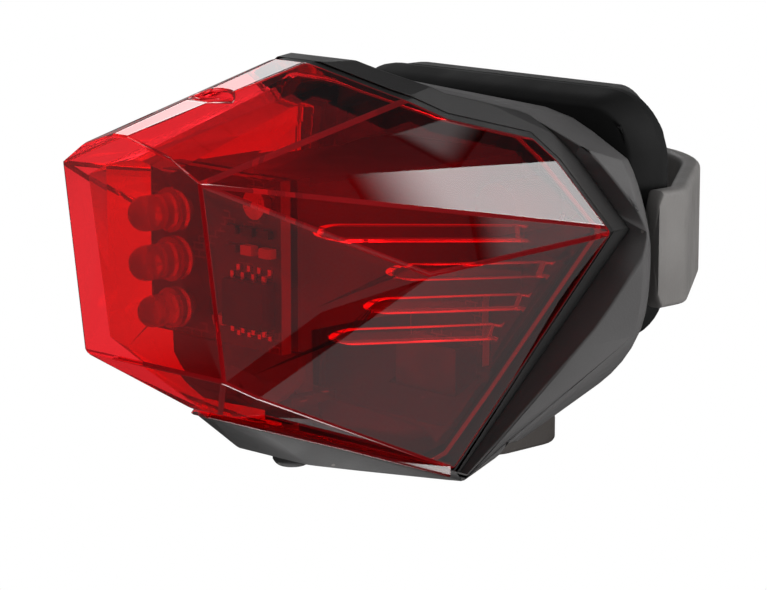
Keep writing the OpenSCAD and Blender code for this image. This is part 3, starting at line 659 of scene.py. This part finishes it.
def knuckle():
    """Tear-shaped section, round at the pin and flat where it joins the plate, carried along the pin."""
    t = np.radians(np.linspace(60, 300, 30))
    middle = np.array([COVER["pin_y"], COVER["pin_z"]])
    nose = KNUCKLE["radius"] * np.stack([np.cos(t), np.sin(t)], -1) + middle
    root = COVER["front"] + KNUCKLE["root"]
    tail = np.array([[root, COVER["low"] + KNUCKLE["edge"]], [root, COVER["top"] - KNUCKLE["edge"]]])
    ring = np.concatenate([nose, tail])
    half = KNUCKLE["half"]
    inner = half - KNUCKLE["edge"]
    x = np.array([-half, -inner, inner, half])
    scale = np.array([KNUCKLE["end_share"], 1, 1, KNUCKLE["end_share"]])
    around = middle + (ring - middle)[None] * scale[:, None, None]
    return np.concatenate([np.broadcast_to(x[:, None, None], (*around.shape[:2], 1)), around], -1)


plate = soft_slab(
    (-COVER["half"], COVER["half"]), (COVER["front"], COVER["back"]), (COVER["low"], COVER["top"]),
    COVER["corner"], COVER["edge"],
)
tongue_z = (COVER["top"] - TONGUE["sink"], COVER["top"] + TONGUE["rise"])
tongue = soft_slab(TONGUE["x"], TONGUE["y"], tongue_z, TONGUE["corner"], TONGUE["edge"])
closed_mesh("cover_flap", [plate, knuckle(), tongue], "cover_rubber", "cover", "port_cover")

# %% [markdown]
# A black plate hangs under the board and keeps its light from the chin. The construction model has no
# such piece: it is a dark piece put in for painted shade on the chin. It is a thin plate: one outline
# in X and Z carried through the thickness, drawn in a little at both faces.

# %% Dark plate under the board, for painted shade
def plate_from(outline, y0, y1, edge):
    """Outline in X and Z carried along Y, with its first and last rows drawn in by an edge."""
    middle = outline.mean(0)
    away = outline - middle
    inset = middle + away * (1 - edge / np.linalg.norm(away, axis=1, keepdims=True))
    flat = np.stack([inset, outline, outline, inset])
    depth = np.array([y0, y0 + edge, y1 - edge, y1])[:, None, None]
    return np.concatenate([flat[..., :1], np.broadcast_to(depth, (*flat.shape[:2], 1)), flat[..., 1:]], -1)


# A dark plate that is only there to put shade on the chin.
SHADE_PLATE_HALF = np.array([[7.9, -7.9], [7.8, -10.2], [6.9, -11.2], [5.6, -12.2], [3.8, -13.1]])
SHADE_PLATE = dict(y0=-34.9, y1=-33.9, edge=0.15)
shade_plate_outline = np.concatenate([SHADE_PLATE_HALF, SHADE_PLATE_HALF[::-1] * [-1, 1]])
shade_plate = plate_from(shade_plate_outline, **SHADE_PLATE)
closed_mesh("board_shade_plate", [shade_plate], "carrier_black", "light", None)

# %% [markdown]
# The lens ends in a thin lip that lies along the edge of the chin and catches the light as a pale line.
# It is a strip carried along that edge, wider towards the back. Its face is turned the same way all
# along, so far as the path allows, so that the whole strip mirrors one card of the studio.

# %% Lip of the lens over the chin
def lip_strip(corners, looks, widths, thick):
    """Rounded section along a line of corners, its face turned as near to a given way as the path allows."""
    run = np.r_[0, np.cumsum(np.linalg.norm(np.diff(corners, axis=0), axis=1))]
    s = np.linspace(0, run[-1], 60)
    line = np.stack([np.interp(s, run, corners[:, k]) for k in range(3)], -1)
    ahead = np.gradient(line, axis=0)
    ahead /= np.linalg.norm(ahead, axis=1, keepdims=True)
    face = looks - (ahead @ looks)[:, None] * ahead
    face /= np.linalg.norm(face, axis=1, keepdims=True)
    side = np.cross(ahead, face)
    section = rounded_section(0.5, 0.5, 0.12)
    half = np.interp(s, run, widths)[:, None, None]
    wide = side[:, None] * section[None, :, :1] * half
    deep = face[:, None] * section[None, :, 1:] * thick
    return line[:, None] + wide + deep


LIP_EDGE = np.array(
    [[0, -37.75, -13.95], [2.15, -36.8, -14.25], [4.4, -35.6, -14.65], [7, -29, -16.85], [10.6, -19.5, -20.1]]
)
LIP_LOOKS = np.array([0.8, -0.32, 0.51])
LIP_WIDTHS = [0.6, 0.6, 0.65, 0.8, 1.3]
LIP_THICK = 0.3
strip = lip_strip(LIP_EDGE, LIP_LOOKS, LIP_WIDTHS, LIP_THICK)
closed_mesh("lens_lip", [strip, strip * [-1, 1, 1]], "lens_red", "light", None)

# %% [markdown]
# Two short wires carry the current from the cell to the board. Each is a round section carried along a
# straight path, a little thinner at both ends where the insulation is cut back for the solder.

# %% Battery wires
def wire_tube(x, z, y0, y1, radius, rows=13, columns=20):
    """Round section carried along Y: its radius grows from 0.8 of its value at each end by a square root."""
    y = np.linspace(y0, y1, rows)
    end = np.minimum(y - y0, y1 - y)
    size = radius * (0.8 + 0.2 * np.sqrt(np.minimum(end / 0.5, 1)))
    t = np.linspace(0, 2 * np.pi, columns, endpoint=False)
    ring = np.stack([np.cos(t), np.zeros(columns), np.sin(t)], -1)
    middle = np.stack([np.full(rows, x), y, np.full(rows, z)], -1)
    return middle[:, None] + size[:, None, None] * ring[None]


WIRE_X = 2.5
WIRE = dict(z=2.6, y0=-35.9, y1=-32.7, radius=0.5)
closed_mesh("positive_lead", [wire_tube(WIRE_X, **WIRE)], "wire_red", "light", "wire_positive")
closed_mesh("negative_lead", [wire_tube(-WIRE_X, **WIRE)], "wire_black", "light", "wire_negative")

# %% [markdown]
# The photograph was taken on white. The floor and the sky are white for the camera, but plain grey and
# dim to the rays that light the object, so they don't flood it. Through the lens and in mirrors the paper
# carries a painted shadow near the part, and through the lens it shows less again far behind it, which
# keeps the top of the lens a deep red. A black card just over the floor shows only in mirrors and keeps the
# undersides dark.

# %% Helpers for the studio
def white_for_eye(tree, output, plain, through, mirrored):
    """White to camera rays, a share of it through glass and in mirrors, and a plain shader to other rays."""
    path = tree.nodes.new("ShaderNodeLightPath").outputs
    behind = put(tree, "Math", {0: path["Is Transmission Ray"], 1: through}, operation="MULTIPLY")
    dimmed = put(tree, "Math", {0: path["Is Glossy Ray"], 1: mirrored}, operation="MULTIPLY")
    seen = put(tree, "Math", {0: path["Is Camera Ray"], 1: behind.outputs[0]}, operation="MAXIMUM")
    shown = put(tree, "Math", {0: seen.outputs[0], 1: dimmed.outputs[0]}, operation="MAXIMUM")
    white = put(tree, "Emission", {"Color": (1, 1, 1, 1), "Strength": 1.0})
    mix = put(tree, "MixShader", {0: shown.outputs[0], 1: plain, 2: white.outputs[0]})
    tree.links.new(mix.outputs[0], output.inputs["Surface"])


def staged(name, corners, material):
    """A flat card of the studio from its corners, which is no part of the object."""
    mesh = bpy.data.meshes.new(name)
    mesh.from_pydata(corners, [], [tuple(range(len(corners)))])
    mesh.materials.append(material)
    card = add_object(name, mesh)
    return card


def level_square(half, z):
    """Corners of a level square round the upright axis."""
    return [(-half, -half, z), (half, -half, z), (half, half, z), (-half, half, z)]


def share_between(tree, distance, near_m, far_m, first, last):
    """Share that goes evenly from first to last between two distances from the part, in metres."""
    limits = {"From Min": near_m, "From Max": far_m, "To Min": first, "To Max": last}
    return put(tree, "MapRange", {"Value": distance, **limits}).outputs[0]


print("studio helpers ready")

# %% Floor and sky
FLOOR_Z = -0.07
CARD_GAP = 0.0005
MIRROR_SHARE = 0.15
material, tree, shader, where = start("floor_paper", Base_Color=(0.45, 0.45, 0.45, 1), Roughness=0.9)
away = put(tree, "VectorMath", {0: where}, operation="LENGTH").outputs["Value"]
# Painted shadow on the paper: seen through glass and in mirrors, its white drops to a fifth near the part.
painted_floor_shadow = share_between(tree, away, 0.1, 0.3, 0.2, 1.0)
paper_end = share_between(tree, away, 0.42, 0.49, 1.0, 0.28)
through_lens = put(tree, "Math", {0: painted_floor_shadow, 1: paper_end}, operation="MULTIPLY")
in_mirrors = put(tree, "Math", {0: painted_floor_shadow, 1: MIRROR_SHARE}, operation="MULTIPLY")
white_for_eye(
    tree, tree.nodes["Material Output"], shader.outputs[0], through_lens.outputs[0], in_mirrors.outputs[0]
)
staged("floor", level_square(3.0, FLOOR_Z), material)

black = staged("black_card", level_square(0.8, FLOOR_Z + CARD_GAP), finish["seal_rubber"])
black.visible_camera = black.visible_transmission = black.visible_diffuse = black.visible_shadow = False

world = bpy.data.worlds.new("studio")
world.use_nodes = True
bpy.context.scene.world = world
tree = world.node_tree
sky = tree.nodes["Background"]
sky.inputs["Color"].default_value = (0.95, 0.96, 1.0, 1)
sky.inputs["Strength"].default_value = 0.1
white_for_eye(tree, tree.nodes["World Output"], sky.outputs[0], 1.0, 0.0)
print("floor and sky ready")

# %% [markdown]
# Each large facet of the lens is a flat mirror that shows one place in the studio. Soft glowing cards
# stand at those places: strong ones for the bright wedge over the side, the lip and the underside, and
# weaker ones for the rest. Their light fades towards the edges, as on a real softbox. Square lamps light
# the black parts, and those low at the side and behind do so without showing in the facets.

# %% Recipes for lamps and cards
def facing_object(thing, azimuth, elevation, distance):
    """Puts a lamp or card at a distance from the object and turns it to face the object."""
    thing.location = AIM + outward(azimuth, elevation) * distance
    thing.rotation_euler = outward(azimuth, elevation).to_track_quat("Z", "Y").to_euler()


def glow_card(name, place, width, height, glow, soft):
    """Card whose glow fades to nothing over a soft border; the border's width is in metres."""
    material, tree, shader, where = start(name)
    axes = put(tree, "SeparateXYZ", {"Vector": where})
    windows = []
    for axis, size in (("X", width), ("Y", height)):
        off = put(tree, "Math", {0: axes.outputs[axis]}, operation="ABSOLUTE")
        inside = {"Value": off.outputs[0], "From Min": size / 2, "From Max": size / 2 - soft}
        windows.append(put(tree, "MapRange", inside, interpolation_type="SMOOTHSTEP").outputs[0])
    both = put(tree, "Math", {0: windows[0], 1: windows[1]}, operation="MULTIPLY")
    power = put(tree, "Math", {0: both.outputs[0], 1: glow}, operation="MULTIPLY")
    light = put(tree, "Emission", {"Strength": power.outputs[0]})
    tree.links.new(light.outputs[0], tree.nodes["Material Output"].inputs["Surface"])
    x, y = width / 2, height / 2
    card = staged(name, [(-x, -y, 0), (x, -y, 0), (x, y, 0), (-x, y, 0)], material)
    card.visible_camera = card.visible_transmission = card.visible_shadow = card.visible_diffuse = False
    facing_object(card, *place)


def softbox(name, place, size, power, mirrored):
    """Square lamp of a size in metres, which shows in mirrors or lights by plain scatter alone."""
    lamp = add_object(name, bpy.data.lights.new(name, "AREA"))
    lamp.data.shape = "SQUARE"
    lamp.data.size = size
    lamp.data.energy = power
    facing_object(lamp, *place)
    lamp.visible_transmission = False
    lamp.visible_glossy = mirrored


print("lamp recipes ready")

# %% Lamps and cards
# A place is an azimuth, an elevation and a distance in metres.
glow_card("wedge_card", (124.4, 31.5, 0.5), 0.15, 0.15, 9.0, 0.02)
glow_card("ridge_card", (-127, 28, 0.5), 0.2, 0.15, 2.6, 0.03)
glow_card("lower_card", (114.7, -38.6, 0.085), 0.06, 0.055, 0.7, 0.01)
glow_card("middle_card", (85.7, -9.7, 0.18), 0.08, 0.06, 0.35, 0.01)
glow_card("front_card", (-41.8, -13, 0.15), 0.09, 0.055, 0.18, 0.01)
glow_card("lip_card", (100, 44, 0.5), 0.12, 0.12, 9.0, 0.02)
glow_card("brow_card", (131.5, 48.4, 0.5), 0.05, 0.028, 1.3, 0.008)
glow_card("blade_card", (107.6, 9.4, 0.5), 0.036, 0.034, 1.2, 0.009)
glow_card("under_card", (-40, -76, 0.056), 0.04, 0.05, 3.2, 0.012)
softbox("high_lamp", (75, 60, 0.7), 0.4, 1.0, True)
softbox("side_lamp", (100, 2, 0.35), 0.12, 1.5, False)
softbox("left_lamp", (-20, 45, 0.8), 0.4, 0.8, True)
softbox("back_lamp", (205, 14, 0.6), 0.24, 5.0, False)

# %% [markdown]
# The picture uses the standard view transform.

# %% Colour view
bpy.context.scene.view_settings.view_transform = "Standard"
